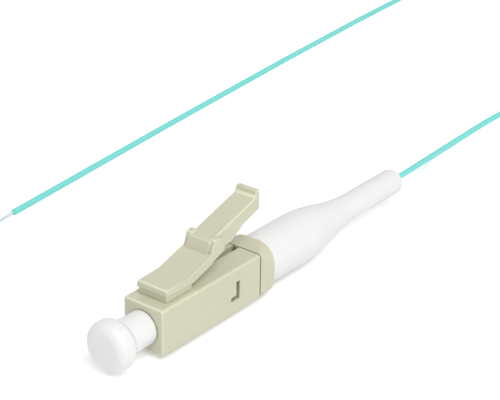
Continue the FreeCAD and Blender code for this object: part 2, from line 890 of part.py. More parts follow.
def cord_tube(label, points):
    """Tube of the pigtail's own size along its rounded route."""
    path, radii = rounded_path(points)
    radius = size("buffer_dia / 2")
    heading = path.Edges[0].tangentAt(path.Edges[0].FirstParameter)
    ring = Part.Wire(Part.makeCircle(radius, FreeCAD.Vector(*points[0]), heading))
    tube = path.makePipeShell([ring], True, False)
    expected = math.pi * radius**2 * path.Length
    if abs(tube.Volume / expected - 1) > VOLUME_SHARE:
        raise RuntimeError(f"{label} is not one even tube")
    print(label, f"length {path.Length:.1f}", "radii", [round(bend, 1) for bend in radii])
    return plain_feature(label, tube), path.Length


def plain_feature(label, shape):
    """Document object that holds a shape made by Part's own functions."""
    feature = doc.addObject("Part::Feature", label)
    feature.Label = label
    feature.Shape = shape
    feature.Placement = FreeCAD.Placement()
    return feature


def coated_fibre():
    """Bared coated fibre beyond the stripped end, which dips to lie on the surface."""
    end = FreeCAD.Vector(*ROUTE_FROM_COIL[-1])
    heading = (end - FreeCAD.Vector(*ROUTE_FROM_COIL[-2])).normalize()
    tip = end + heading * size("bared_length")
    tip.z = size("tip_rest")
    run = tip - end
    rod = Part.makeCylinder(size("coating_dia / 2"), run.Length, end, run)
    return plain_feature("coated_fibre", rod)


def refuse_faults(pieces):
    """Stop if any object failed or any piece is empty or unsound."""
    for item in doc.Objects:
        if "Invalid" in item.State or "Error" in item.State:
            raise RuntimeError(f"{item.Label} failed")
    for piece in pieces:
        shape = piece.Shape
        if shape.isNull() or not shape.isValid() or len(shape.Solids) != 1:
            raise RuntimeError(f"{piece.Label} is not one sound solid")


def main():
    """Build every piece, check it and write one STEP file for each."""
    skin, buffer = "ferrule_dia / 2", "buffer_dia / 2"
    near_cord, near_length = cord_tube("cord_to_coil", ROUTE_TO_COIL)
    far_cord, far_length = cord_tube("cord_from_coil", ROUTE_FROM_COIL)
    pieces = [
        dust_cap(),
        plug_housing(),
        latch_lever(),
        ferrule(),
        ferrule_holder(),
        ferrule_spring(),
        round_piece("glass_fibre", "-ferrule_reach", FERRULE_SEAT, "0", "glass_dia / 2"),
        round_piece("guide_tube", "tube_front", "tube_rear", BUFFER_BORE, "tube_dia / 2"),
        round_piece("held_buffer", FERRULE_SEAT, "held_buffer_end", "0", buffer),
        rear_body(),
        boot(),
        round_piece("boot_buffer", "boot_buffer_start", CORD_FACE, "0", buffer),
        near_cord,
        cord_coil(),
        coil_tie(),
        far_cord,
        coated_fibre(),
    ]
    doc.recompute()
    refuse_faults(pieces)
    in_plug = ROUTE_TO_COIL[0][0] - size(f"{PLUG_FACE} - ferrule_reach")
    wound = PIGTAIL_LENGTH - in_plug - near_length - far_length - size("bared_length")
    turns = wound / (2 * math.pi * size("coil_mean_radius"))
    print(f"turns in the coil {turns:.2f}")
    os.makedirs("parts", exist_ok=True)
    for piece in pieces:
        piece.Shape.exportStep(f"parts/{piece.Label}.step")


main()
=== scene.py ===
"""Looks of a small square fibre plug with its dust cap, boot and pigtail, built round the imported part.

Everything is in the part's own frame, in metres: +X runs back along the fibre axis, +Z is up through
the latch, and the surface that the plug lies on is at height zero.
"""

import logging
import math
from abc import ABC, abstractmethod
from collections.abc import Callable, Sequence
from dataclasses import dataclass, replace
from enum import Enum

import bmesh
import bpy
from mathutils import Matrix, Vector


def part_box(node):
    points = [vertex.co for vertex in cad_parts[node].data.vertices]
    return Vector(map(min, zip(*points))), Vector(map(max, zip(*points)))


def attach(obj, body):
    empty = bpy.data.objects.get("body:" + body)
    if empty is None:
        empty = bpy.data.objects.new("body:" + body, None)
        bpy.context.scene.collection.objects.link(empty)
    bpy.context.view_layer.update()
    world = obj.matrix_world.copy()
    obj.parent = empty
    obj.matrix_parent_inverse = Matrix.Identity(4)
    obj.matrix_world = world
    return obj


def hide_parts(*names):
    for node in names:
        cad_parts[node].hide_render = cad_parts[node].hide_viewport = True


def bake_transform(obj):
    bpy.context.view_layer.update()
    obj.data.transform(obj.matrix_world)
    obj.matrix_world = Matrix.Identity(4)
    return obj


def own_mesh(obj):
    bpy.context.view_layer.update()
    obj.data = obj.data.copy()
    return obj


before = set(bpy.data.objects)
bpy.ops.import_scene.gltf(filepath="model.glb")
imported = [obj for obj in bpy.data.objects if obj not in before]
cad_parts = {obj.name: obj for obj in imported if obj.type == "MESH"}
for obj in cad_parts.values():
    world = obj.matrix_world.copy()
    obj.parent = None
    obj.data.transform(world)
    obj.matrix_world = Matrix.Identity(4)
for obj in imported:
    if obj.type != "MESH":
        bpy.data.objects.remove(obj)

LOG = logging.getLogger("fibre_plug")
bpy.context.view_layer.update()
SAME_SPOT = 1e-6
CREASE = math.radians(32)
TURNED_CREASE = math.radians(35)

Rgb = tuple[float, float, float]
Point = tuple[float, float, float]
Place = tuple[float, float]


class Body(Enum):
    """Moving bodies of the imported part."""

    ROOT = "root"
    LATCH = "latch"
    FERRULE_SET = "ferrule_set"
    CAP = "cap"


# ---------------------------------------------------------------------------------------------
# Node trees
# ---------------------------------------------------------------------------------------------


class Tree:
    """Short way to add linked nodes to a shader or geometry tree."""

    def __init__(self, tree: bpy.types.NodeTree) -> None:
        """Keep the tree that nodes are added to.

        Args:
            tree: node tree to fill.
        """
        self.tree = tree

    def add(
        self, kind: str, /, out: str | None = None, **given: object
    ) -> bpy.types.Node | bpy.types.NodeSocket:
        """Add one node, set its properties and fill or link its inputs.

        Args:
            kind: Blender's name for the node type.
            out: name of the output socket to return instead of the node.
            given: properties by their name, and inputs by their label with _ for a space.

        Returns:
            The new node, or one of its outputs.
        """
        node = self.tree.nodes.new(kind)
        inputs = {}
        for name, value in given.items():
            if name.islower():
                setattr(node, name, value)
            else:
                inputs[name.replace("_", " ")] = value
        for name, value in inputs.items():
            self.feed(pick(node.inputs, name), value)
        return pick(node.outputs, out) if out else node

    def feed(self, socket: bpy.types.NodeSocket, value: object) -> None:
        """Link a socket to another one, or give it a plain value.

        Args:
            socket: input to fill.
            value: output to link it to, or its value.
        """
        if isinstance(value, bpy.types.NodeSocket):
            self.tree.links.new(value, socket)
        else:
            socket.default_value = value

    def math(self, operation: str, first: object, second: object = 0.0) -> bpy.types.NodeSocket:
        """Output of a Math node on two values or sockets.

        Args:
            operation: Blender's name for the operation.
            first: first value or socket.
            second: second value or socket, where the operation takes one.

        Returns:
            The node's output.
        """
        node = self.tree.nodes.new("ShaderNodeMath")
        node.operation = operation
        self.feed(node.inputs[0], first)
        self.feed(node.inputs[1], second)
        return node.outputs[0]

    def mix(self, share: object, first: object, second: object) -> bpy.types.NodeSocket:
        """Colour between two colours.

        Args:
            share: how much of the second colour there is.
            first: first colour or its socket.
            second: second colour or its socket.

        Returns:
            The mixed colour.
        """
        return self.add(
            "ShaderNodeMix", out="Result", data_type="RGBA", Factor=share, A=first, B=second
        )

    def ramp(self, value: object, start: float, end: float) -> bpy.types.NodeSocket:
        """How far a value has come from one number to another, from 0 to 1.

        Args:
            value: value or its socket.
            start: number that gives 0.
            end: number that gives 1.

        Returns:
            The share's socket.
        """
        return self.add(
            "ShaderNodeMapRange", out="Result", Value=value, From_Min=start, From_Max=end
        )


def pick(sockets: bpy.types.bpy_prop_collection, name: str) -> bpy.types.NodeSocket:
    """The socket in use that has a name."""
    return next(socket for socket in sockets if socket.name == name and socket.enabled)


def new_group(name: str, kind: str, inputs: dict[str, str], outputs: dict[str, str]) -> Tree:
    """Empty node group with named sockets.

    Args:
        name: name of the group.
        kind: ShaderNodeTree or GeometryNodeTree.
        inputs: socket types by name, without the NodeSocket in front.
        outputs: the same for what the group puts out.

    Returns:
        The tree to fill.
    """
    group = bpy.data.node_groups.new(name, kind)
    for way, sockets in (("INPUT", inputs), ("OUTPUT", outputs)):
        for label, socket in sockets.items():
            group.interface.new_socket(label, in_out=way, socket_type=f"NodeSocket{socket}")
    return Tree(group)


# ---------------------------------------------------------------------------------------------
# Finishes
# ---------------------------------------------------------------------------------------------


# Where each mask of the moulded skin starts and is full: the painted highlight on rounded edges by the
# largest part of the direction that a surface faces in, the patches by their noise, the painted shade in
# crevices by their openness.
EDGE_HIGHLIGHT_RANGE = (0.9, 0.78)
PATCH_RANGE = (0.35, 0.65)
CREVICE_SHADE_RANGE = (0.75, 0.2)
# share of the painted edge highlight that edges running along the plug lose
LENGTHWISE_HIGHLIGHT_LOSS = 0.75


def edge_highlight_mask(tree: Tree) -> bpy.types.NodeSocket:
    """Mask of the painted highlight on rounded edges, by the direction a surface faces: full where level
    turns to front, less along the plug.

    Args:
        tree: tree that the nodes are added to.

    Returns:
        The mask.
    """
    facing = tree.add("ShaderNodeTexCoord", out="Normal")
    size = tree.add("ShaderNodeVectorMath", out="Vector", operation="ABSOLUTE", Vector=facing)
    parts = tree.add("ShaderNodeSeparateXYZ", Vector=size).outputs
    most = tree.math("MAXIMUM", tree.math("MAXIMUM", parts["X"], parts["Y"]), parts["Z"])
    across = tree.math("SUBTRACT", 1.0, tree.math("MULTIPLY", parts["Y"], LENGTHWISE_HIGHLIGHT_LOSS))
    return tree.math("MULTIPLY", tree.ramp(most, *EDGE_HIGHLIGHT_RANGE), across)


def moulded_skin_and_painted_light() -> bpy.types.NodeTree:
    """Group for the moulded plastics: uneven tone, painted highlight on rounded edges, painted shade in
    crevices, mould texture.

    Returns:
        The group, built on first use.
    """
    found = bpy.data.node_groups.get("moulded_skin_and_painted_light")
    if found:
        return found
    tree = new_group(
        "moulded_skin_and_painted_light",
        "ShaderNodeTree",
        {
            "Light": "Color",
            "Dark": "Color",
            "Crevice": "Color",
            "Edge": "Color",
            "Edge Share": "Float",
            "Reach": "Float",
            "Patch Scale": "Float",
            "Grain Scale": "Float",
            "Gloss": "Float",
            "Gloss Spread": "Float",
        },
        {"Colour": "Color", "Roughness": "Float", "Height": "Float"},
    )
    given = tree.add("NodeGroupInput").outputs
    place = tree.add("ShaderNodeTexCoord", out="Object")
    patch = tree.add("ShaderNodeTexNoise", out="Fac", Vector=place, Scale=given["Patch Scale"])
    grain = tree.add("ShaderNodeTexNoise", out="Fac", Vector=place, Scale=given["Grain Scale"])
    tone = tree.mix(tree.ramp(patch, *PATCH_RANGE), given["Light"], given["Dark"])
    # painted highlight: rounded edges between level and front faces are lightened towards the Edge
    # colour
    edges = tree.math("MULTIPLY", edge_highlight_mask(tree), given["Edge Share"])
    tone = tree.mix(edges, tone, given["Edge"])
    # painted shade: narrow gaps and inner corners darken towards the crevice shade colour by their
    # ambient occlusion
    openness = tree.add("ShaderNodeAmbientOcclusion", out="AO", Distance=given["Reach"])
    closed = tree.ramp(openness, *CREVICE_SHADE_RANGE)
    spread = tree.math("MULTIPLY", tree.math("SUBTRACT", grain, 0.5), given["Gloss Spread"])
    tree.add(
        "NodeGroupOutput",
        Colour=tree.mix(closed, tone, given["Crevice"]),
        Roughness=tree.math("ADD", given["Gloss"], spread),
        Height=grain,
    )
    return tree.tree


@dataclass(frozen=True)
class Finish(ABC):
    """What a piece is made of.

    Attributes:
        name: name of the material.
        slot: material slot of the record that it stands for.
    """

    name: str
    slot: str

    def material(self) -> bpy.types.Material:
        """The material, built on first use.

        Returns:
            The material with this finish's own values and textures.
        """
        found = bpy.data.materials.get(self.name)
        if found:
            return found
        material, tree, shader = new_material(self.name)
        self.shade(tree, shader)
        return material

    @abstractmethod
    def shade(self, tree: Tree, shader: bpy.types.Node) -> None:
        """Give a bare shader the values and textures of this kind of finish.

        Args:
            tree: tree of the material.
            shader: its Principled shader.
        """


@dataclass(frozen=True)
class MouldedPlastic(Finish):
    """Dyed plastic straight from the mould, with painted highlight on its rounded edges and painted
    shade in its crevices.

    Attributes:
        light: colour of most of the surface.
        dark: colour of its slightly darker patches.
        crevice_shade: colour of the painted shade that its narrow gaps and inner corners tend to.
        edge: colour of the painted highlight on its rounded edges.
        edge_highlight_share: how much of that painted highlight they take.
        shade_reach: depth of a gap in metres that still takes painted shade.
        gloss: roughness of the surface.
        gloss_spread: how far the roughness varies.
        patch: scale of the patches, per metre.
        grain: scale of the mould's texture, per metre.
        depth: height of that texture in metres.
        glow: share of light that spreads under the surface.
        glow_radius: how far that light spreads, in metres.
        specular: strength of the surface's gloss.
    """

    light: Rgb
    dark: Rgb
    crevice_shade: Rgb
    edge: Rgb = (1.0, 1.0, 1.0)
    edge_highlight_share: float = 0.0
    shade_reach: float = 0.0006
    gloss: float = 0.38
    gloss_spread: float = 0.12
    patch: float = 260.0
    grain: float = 9000.0
    depth: float = 4e-6
    glow: float = 0.0
    glow_radius: float = 0.0006
    specular: float = 0.5

    def shade(self, tree: Tree, shader: bpy.types.Node) -> None:
        """Place the moulded skin with this plastic's own values.

        Args:
            tree: tree of the material.
            shader: its Principled shader.
        """
        skin = tree.add(
            "ShaderNodeGroup",
            node_tree=moulded_skin_and_painted_light(),
            Light=(*self.light, 1.0),
            Dark=(*self.dark, 1.0),
            Crevice=(*self.crevice_shade, 1.0),
            Edge=(*self.edge, 1.0),
            Edge_Share=self.edge_highlight_share,
            Reach=self.shade_reach,
            Patch_Scale=self.patch,
            Grain_Scale=self.grain,
            Gloss=self.gloss,
            Gloss_Spread=self.gloss_spread,
        )
        bump = tree.add(
            "ShaderNodeBump", out="Normal", Height=skin.outputs["Height"], Distance=self.depth
        )
        tree.feed(shader.inputs["Base Color"], skin.outputs["Colour"])
        tree.feed(shader.inputs["Roughness"], skin.outputs["Roughness"])
        tree.feed(shader.inputs["Normal"], bump)
        shader.inputs["Specular IOR Level"].default_value = self.specular
        shader.inputs["Subsurface Weight"].default_value = self.glow
        shader.inputs["Subsurface Radius"].default_value = (self.glow_radius,) * 3
        shader.inputs["Subsurface Scale"].default_value = 1.0


@dataclass(frozen=True)
class DrawnMetal(Finish):
    """Drawn or turned metal with fine scratches round the fibre's axis.

    Attributes:
        colour: colour of the metal.
        gloss: middling roughness.
        smoothest: share of that roughness where the metal is smoothest.
        roughest: share of it where the metal is roughest.
        scratch: scale of the scratches along the axis, per metre.
        stretch: share of that scale across the axis.
        depth: depth of the scratches in metres.
    """

    colour: Rgb
    gloss: float = 0.28
    smoothest: float = 0.8
    roughest: float = 1.3
    scratch: float = 30000.0
    stretch: float = 0.05
    depth: float = 1e-6

    def shade(self, tree: Tree, shader: bpy.types.Node) -> None:
        """Scratch the metal round the axis.

        Args:
            tree: tree of the material.
            shader: its Principled shader.
        """
        place = tree.add("ShaderNodeTexCoord", out="Object")
        scale = (1.0, self.stretch, self.stretch)
        stretched = tree.add("ShaderNodeMapping", out="Vector", Vector=place, Scale=scale)
        lines = tree.add("ShaderNodeTexNoise", out="Fac", Vector=stretched, Scale=self.scratch)
        rough = tree.add(
            "ShaderNodeMapRange",
            out="Result",
            Value=lines,
            To_Min=self.gloss * self.smoothest,
            To_Max=self.gloss * self.roughest,
        )
        bump = tree.add("ShaderNodeBump", out="Normal", Height=lines, Distance=self.depth)
        shader.inputs["Base Color"].default_value = (*self.colour, 1.0)
        shader.inputs["Metallic"].default_value = 1.0
        tree.feed(shader.inputs["Roughness"], rough)
        tree.feed(shader.inputs["Normal"], bump)


@dataclass(frozen=True)
class ClearGlass(Finish):
    """Clear drawn glass, barely uneven along its length.

    Attributes:
        colour: tint of the glass.
        gloss: largest roughness of its surface.
        wave: scale of that unevenness, per metre.
        bend: refractive index.
    """

    colour: Rgb = (0.95, 0.98, 0.98)
    gloss: float = 0.04
    wave: float = 4000.0
    bend: float = 1.46

    def shade(self, tree: Tree, shader: bpy.types.Node) -> None:
        """Clear the shader and make its gloss uneven.

        Args:
            tree: tree of the material.
            shader: its Principled shader.
        """
        place = tree.add("ShaderNodeTexCoord", out="Object")
        waves = tree.add("ShaderNodeTexNoise", out="Fac", Vector=place, Scale=self.wave)
        spread = tree.math("MULTIPLY", waves, self.gloss)
        shader.inputs["Base Color"].default_value = (*self.colour, 1.0)
        shader.inputs["Transmission Weight"].default_value = 1.0
        shader.inputs["IOR"].default_value = self.bend
        tree.feed(shader.inputs["Roughness"], spread)


def new_material(name: str) -> tuple[bpy.types.Material, Tree, bpy.types.Node]:
    """Material with a bare Principled shader.

    Args:
        name: name of the material.

    Returns:
        The material, its tree and its shader.
    """
    material = bpy.data.materials.new(name)
    material.use_nodes = True
    tree = Tree(material.node_tree)
    return material, tree, material.node_tree.nodes["Principled BSDF"]


# the third colour of each moulded finish is the painted shade in its crevices
BEIGE = MouldedPlastic(
    "beige_moulding",
    "beige_plastic",
    (0.655, 0.645, 0.485),
    (0.635, 0.625, 0.468),
    (0.32, 0.315, 0.225),
    # Edge colour and share: painted highlight on the rounded edges
    edge=(0.86, 0.85, 0.64),
    edge_highlight_share=0.9,
)
# the same beige with no painted edge highlight
BEIGE_COLLAR = replace(BEIGE, name="beige_collar", edge_highlight_share=0.0)
WHITE_BOOT = MouldedPlastic(
    "white_boot", "boot_rubber", (0.88, 0.88, 0.88), (0.865, 0.865, 0.865), (0.2, 0.2, 0.19),
    gloss=0.55,
)
WHITE_CAP = MouldedPlastic(
    "white_cap", "cap_plastic", (0.91, 0.91, 0.91), (0.895, 0.895, 0.895), (0.6, 0.6, 0.6),
    gloss=0.4,
)
AQUA = MouldedPlastic(
    "aqua_buffer", "aqua_buffer", (0.21, 0.78, 0.73), (0.19, 0.74, 0.70), (0.08, 0.4, 0.37),
    shade_reach=0.0002, gloss=0.4,
)
CERAMIC = MouldedPlastic(
    "ceramic", "ceramic", (0.88, 0.87, 0.83), (0.87, 0.86, 0.82), (0.6, 0.58, 0.55),
    gloss=0.12, depth=5e-7,
)
TIE = MouldedPlastic(
    "tie_film", "tie_film", (0.85, 0.85, 0.83), (0.82, 0.82, 0.8), (0.5, 0.5, 0.48), gloss=0.3
)
COATING = MouldedPlastic(
    "fibre_coating", "fibre_coating", (0.60, 0.74, 0.84), (0.55, 0.70, 0.80), (0.2, 0.3, 0.36),
    shade_reach=0.00008, gloss=0.2,
)
WAXY = MouldedPlastic(
    "waxy_tube", "clear_tube", (0.8, 0.8, 0.76), (0.78, 0.78, 0.74), (0.4, 0.4, 0.38),
    gloss=0.35, glow=0.3,
)
STEEL = DrawnMetal("spring_wire", "spring_steel", (0.62, 0.61, 0.59), 0.25)
NICKEL = DrawnMetal("turned_holder", "holder_metal", (0.66, 0.63, 0.56), 0.3)
GLASS = ClearGlass("clear_glass", "fibre_glass")


# ---------------------------------------------------------------------------------------------
# Meshes
# ---------------------------------------------------------------------------------------------


def place_piece(name: str, mesh: bpy.types.Mesh, finish: Finish) -> bpy.types.Object:
    """Put a mesh into the scene with its finish.

    Args:
        name: name of the piece.
        mesh: its mesh, in the part's frame.
        finish: what it is made of.

    Returns:
        The new object.
    """
    piece = bpy.data.objects.new(name, mesh)
    bpy.context.scene.collection.objects.link(piece)
    mesh.materials.clear()
    mesh.materials.append(finish.material())
    LOG.info("%s: %d faces", name, len(mesh.polygons))
    return piece


def corners(node: str, origin: Vector) -> tuple[Vector, Vector]:
    """Lowest and highest corner of a CAD node at rest.

    Args:
        node: name of the CAD node.
        origin: where the plug's face meets the fibre's axis, which both are measured from.

    Returns:
        The two corners.
    """
    low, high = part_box(node)
    return Vector(low) - origin, Vector(high) - origin


def settle(piece: bpy.types.Object, finish: Finish, body: Body, *nodes: str) -> None:
    """Attach a piece to the body that it moves with and hide the CAD nodes that it replaces.

    Args:
        piece: the piece.
        finish: its finish; not used.
        body: moving body that it belongs to.
        nodes: CAD nodes that it replaces.
    """
    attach(piece, body.value)
    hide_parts(*nodes)


def even_shading(piece: bpy.types.Object) -> None:
    """Let flat faces keep their own normals where they run into rounded ones.

    Args:
        piece: piece that gets the modifier.
    """
    modifier = piece.modifiers.new("even_shading", "WEIGHTED_NORMAL")
    modifier.keep_sharp = True
    modifier.weight = 100


def soften(mesh: bmesh.types.BMesh, limit: float = CREASE) -> None:
    """Shade a mesh smoothly, with a crease wherever two faces meet at a sharper angle.

    Args:
        mesh: mesh that is changed.
        limit: largest angle in radians that is still smooth.
    """
    for face in mesh.faces:
        face.smooth = True
    for edge in mesh.edges:
        edge.smooth = len(edge.link_faces) == 2 and edge.calc_face_angle() < limit


def cad_copy(node: str, cuts: Sequence[tuple[Vector, Vector]] = ()) -> bpy.types.Mesh:
    """Merged copy of a CAD node's mesh, cut by some planes.

    Args:
        node: name of the CAD node.
        cuts: for each plane a point on it and the direction in which nothing is kept.

    Returns:
        The new mesh, softly shaded.
    """
    work = bmesh.new()
    work.from_mesh(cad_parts[node].data)
    bmesh.ops.remove_doubles(work, verts=work.verts, dist=SAME_SPOT)
    for place, away in cuts:
        parts = [*work.verts, *work.edges, *work.faces]
        cut = bmesh.ops.bisect_plane(
            work, geom=parts, plane_co=place, plane_no=away, clear_outer=True
        )
        rim = [item for item in cut["geom_cut"] if isinstance(item, bmesh.types.BMEdge)]
        bmesh.ops.holes_fill(work, edges=rim)
    soften(work)
    mesh = bpy.data.meshes.new(node)
    work.to_mesh(mesh)
    work.free()
    return mesh


def dress_node(node: str, finish: Finish, body: Body) -> bpy.types.Object:
    """Show a CAD node as a softly shaded copy of itself.

    Args:
        node: name of the CAD node.
        finish: what it is made of.
        body: moving body that it belongs to.

    Returns:
        The piece that stands for the node.
    """
    piece = place_piece(f"{node}_skin", cad_copy(node), finish)
    even_shading(piece)
    settle(piece, finish, body, node)
    return piece


def arc(centre: Place, radius: float, start: float, end: float, steps: int = 8) -> list[Place]:
    """Points of an arc in a side view.

    Args:
        centre: middle of the arc.
        radius: its radius.
        start: first angle in degrees, from the first axis towards the second.
        end: last angle in degrees.
        steps: number of straight pieces.

    Returns:
        The points, both ends among them.
    """
    angles = [math.radians(start + (end - start) * step / steps) for step in range(steps + 1)]
    return [
        (centre[0] + radius * math.cos(angle), centre[1] + radius * math.sin(angle))
        for angle in angles
    ]


def turned_group() -> bpy.types.NodeTree:
    """Geometry group that turns a side view about the fibre's axis into a closed shell.

    Returns:
        The group, built on first use.
    """
    found = bpy.data.node_groups.get("turned_piece")
    if found:
        return found
    tree = new_group(
        "turned_piece",
        "GeometryNodeTree",
        {
            "Side View": "Geometry",
            "Stations": "Int",
            "Sides": "Int",
            "Crease": "Float",
            "Finish": "Material",
        },
        {"Shell": "Geometry"},
    )
    given = tree.add("NodeGroupInput").outputs
    around = tree.math("ADD", given["Sides"], 1.0)
    grid = tree.add(
        "GeometryNodeMeshGrid", out="Mesh", Vertices_X=given["Stations"], Vertices_Y=around
    )
    number = tree.add("GeometryNodeInputIndex", out="Index")
    station = tree.math("FLOOR", tree.math("DIVIDE", number, around))
    turned = tree.math("DIVIDE", tree.math("MODULO", number, around), given["Sides"])
    angle = tree.math("MULTIPLY", turned, math.tau)
    corner = tree.add(
        "GeometryNodeSampleIndex",
        out="Value",
        data_type="FLOAT_VECTOR",
        Geometry=given["Side View"],
        Value=tree.add("GeometryNodeInputPosition", out="Position"),
        Index=station,
    )
    split = tree.add("ShaderNodeSeparateXYZ", Vector=corner).outputs
    place = tree.add(
        "ShaderNodeCombineXYZ",
        out="Vector",
        X=split["X"],
        Y=tree.math("MULTIPLY", split["Z"], tree.math("COSINE", angle)),
        Z=tree.math("MULTIPLY", split["Z"], tree.math("SINE", angle)),
    )
    shell = tree.add("GeometryNodeSetPosition", out="Geometry", Geometry=grid, Position=place)
    shell = tree.add(
        "GeometryNodeMergeByDistance", out="Geometry", Geometry=shell, Distance=SAME_SPOT
    )
    steep = tree.math(
        "GREATER_THAN",
        tree.add("GeometryNodeInputMeshEdgeAngle", out="Unsigned Angle"),
        given["Crease"],
    )
    shell = tree.add("GeometryNodeSetShadeSmooth", out="Geometry", Geometry=shell)
    shell = tree.add(
        "GeometryNodeSetShadeSmooth",
        out="Geometry",
        domain="EDGE",
        Geometry=shell,
        Selection=steep,
        Shade_Smooth=False,
    )
    close(tree, shell, given["Finish"], "Shell")
    return tree.tree


def spring_group() -> bpy.types.NodeTree:
    """Geometry group that winds a wire along the fibre's axis.

    Returns:
        The group, built on first use.
    """
    found = bpy.data.node_groups.get("wound_wire")
    if found:
        return found
    tree = new_group(
        "wound_wire",
        "GeometryNodeTree",
        {
            "Start": "Vector",
            "Length": "Float",
            "Turns": "Float",
            "Radius": "Float",
            "Wire Radius": "Float",
            "Steps": "Int",
            "Sides": "Int",
            "Finish": "Material",
        },
        {"Spring": "Geometry"},
    )
    given = tree.add("NodeGroupInput").outputs
    line = tree.add(
        "GeometryNodeCurveSpiral",
        out="Curve",
        Resolution=given["Steps"],
        Rotations=given["Turns"],
        Start_Radius=given["Radius"],
        End_Radius=given["Radius"],
        Height=given["Length"],
    )
    ring = tree.add(
        "GeometryNodeCurvePrimitiveCircle",
        out="Curve",
        Resolution=given["Sides"],
        Radius=given["Wire Radius"],
    )
    wire = tree.add(
        "GeometryNodeCurveToMesh", out="Mesh", Curve=line, Profile_Curve=ring, Fill_Caps=True
    )
    wire = tree.add(
        "GeometryNodeTransform",
        out="Geometry",
        Geometry=wire,
        Translation=given["Start"],
        Rotation=(0.0, math.pi / 2, 0.0),
    )
    close(tree, wire, given["Finish"], "Spring")
    return tree.tree


def close(
    tree: Tree, made: bpy.types.NodeSocket, finish: bpy.types.NodeSocket, name: str
) -> None:
    """End a geometry group with plain geometry and its material.

    Args:
        tree: tree of the group.
        made: geometry that the group has made.
        finish: its material.
        name: name of the group's output.
    """
    real = tree.add("GeometryNodeRealizeInstances", out="Geometry", Geometry=made)
    dressed = tree.add(
        "GeometryNodeSetMaterial", out="Geometry", Geometry=real, Material=finish
    )
    tree.add("NodeGroupOutput", **{name: dressed})


def grown(
    name: str, group: bpy.types.NodeTree, base: bpy.types.Mesh, given: dict[str, object]
) -> bpy.types.Mesh:
    """Plain mesh that a geometry group makes.

    Args:
        name: name of the mesh.
        group: the geometry group.
        base: mesh that the group starts from.
        given: values of its inputs by name.

    Returns:
        The new mesh, its faces outwards.
    """
    stand = bpy.data.objects.new(name, base)
    bpy.context.scene.collection.objects.link(stand)
    modifier = stand.modifiers.new(group.name, "NODES")
    modifier.node_group = group
    for item in group.interface.items_tree:
        if item.in_out == "INPUT" and item.name in given:
            modifier[item.identifier] = given[item.name]
    evaluated = stand.evaluated_get(bpy.context.evaluated_depsgraph_get())
    mesh = bpy.data.meshes.new_from_object(evaluated)
    stand.modifiers.remove(modifier)
    bpy.data.objects.remove(stand)
    work = bmesh.new()
    work.from_mesh(mesh)
    bmesh.ops.recalc_face_normals(work, faces=work.faces)
    work.to_mesh(mesh)
    work.free()
    mesh.name = name
    return mesh


def turned_piece(
    name: str, side_view: list[Place], origin: Vector, finish: Finish, sides: int = 96
) -> bpy.types.Object:
    """Piece turned about the fibre's axis from a closed side view.

    Args:
        name: name of the piece.
        side_view: corners along the plug and out from the axis.
        origin: where the plug's face meets the axis.
        finish: what it is made of.
        sides: number of facets round the axis.

    Returns:
        The new object.
    """
    closed = [*side_view, side_view[0]]
    base = bpy.data.meshes.new("side_view")
    base.from_pydata([(along, 0.0, out) for along, out in closed], [], [])
    sizes = {
        "Stations": len(closed),
        "Sides": sides,
        "Crease": TURNED_CREASE,
        "Finish": finish.material(),
    }
    mesh = grown(name, turned_group(), base, sizes)
    mesh.transform(Matrix.Translation(origin))
    return place_piece(name, mesh, finish)


def s_bend(start: Place, end: Place, steps: int = 24) -> list[Place]:
    """Points of an S that leaves one place level and reaches another level.

    Args:
        start: first point, along and out.
        end: last point.
        steps: number of straight pieces.

    Returns:
        The points, both ends among them.
    """
    points = []
    for step in range(steps + 1):
        done = step / steps
        share = 2 * done * done if done < 0.5 else 1 - 2 * (1 - done) ** 2
        points.append(
            (start[0] + (end[0] - start[0]) * done, start[1] + (end[1] - start[1]) * share)
        )
    return points


class Bar:
    """Mesh made of upright prisms, each with rounded edges."""

    ROUNDED_FROM = math.radians(25)
    CREASED_FROM = math.radians(45)
    EDGE_FACETS = 3
    BIG_EDGE_FACETS = 6

    def __init__(self, origin: Vector) -> None:
        """Start an empty mesh.

        Args:
            origin: where the side views' own zero lies in the part's frame.
        """
        self.mesh = bmesh.new()
        self.origin = origin

    def prism(
        self,
        outline: list[Place],
        left: float,
        right: float,
        edge: float,
        big: float = 0.0,
        chosen: Callable[[Vector, Vector], bool] | None = None,
    ) -> None:
        """Add the solid between two planes that has an outline seen from the side.

        Args:
            outline: corners along the plug and up.
            left: first plane across the plug.
            right: second plane across the plug.
            edge: radius of its rounded edges.
            big: radius of the edges that are rounded more.
            chosen: whether the edge between two points, from the side views' zero, is one of them.
        """
        work = bmesh.new()
        rows = [[work.verts.new((x, y, z)) for x, z in outline] for y in (left, right)]
        work.faces.new(rows[0])
        work.faces.new(list(reversed(rows[1])))
        for here in range(len(outline)):
            after = (here + 1) % len(outline)
            work.faces.new((rows[0][after], rows[0][here], rows[1][here], rows[1][after]))
        bmesh.ops.recalc_face_normals(work, faces=work.faces)
        if chosen:
            picked = [item for item in work.edges if chosen(*(vert.co for vert in item.verts))]
            round_off(work, picked, big, self.BIG_EDGE_FACETS)
        sharp = [item for item in work.edges if item.calc_face_angle() > self.ROUNDED_FROM]
        round_off(work, sharp, edge, self.EDGE_FACETS)
        soften(work, self.CREASED_FROM)
        bmesh.ops.translate(work, verts=work.verts, vec=self.origin)
        part = bpy.data.meshes.new("part")
        work.to_mesh(part)
        self.mesh.from_mesh(part)
        bpy.data.meshes.remove(part)
        work.free()

    def finished(self, name: str) -> bpy.types.Mesh:
        """Hand over the mesh, after which nothing can be added.

        Args:
            name: name of the mesh.

        Returns:
            The mesh with every prism in it.
        """
        mesh = bpy.data.meshes.new(name)
        self.mesh.to_mesh(mesh)
        self.mesh.free()
        return mesh


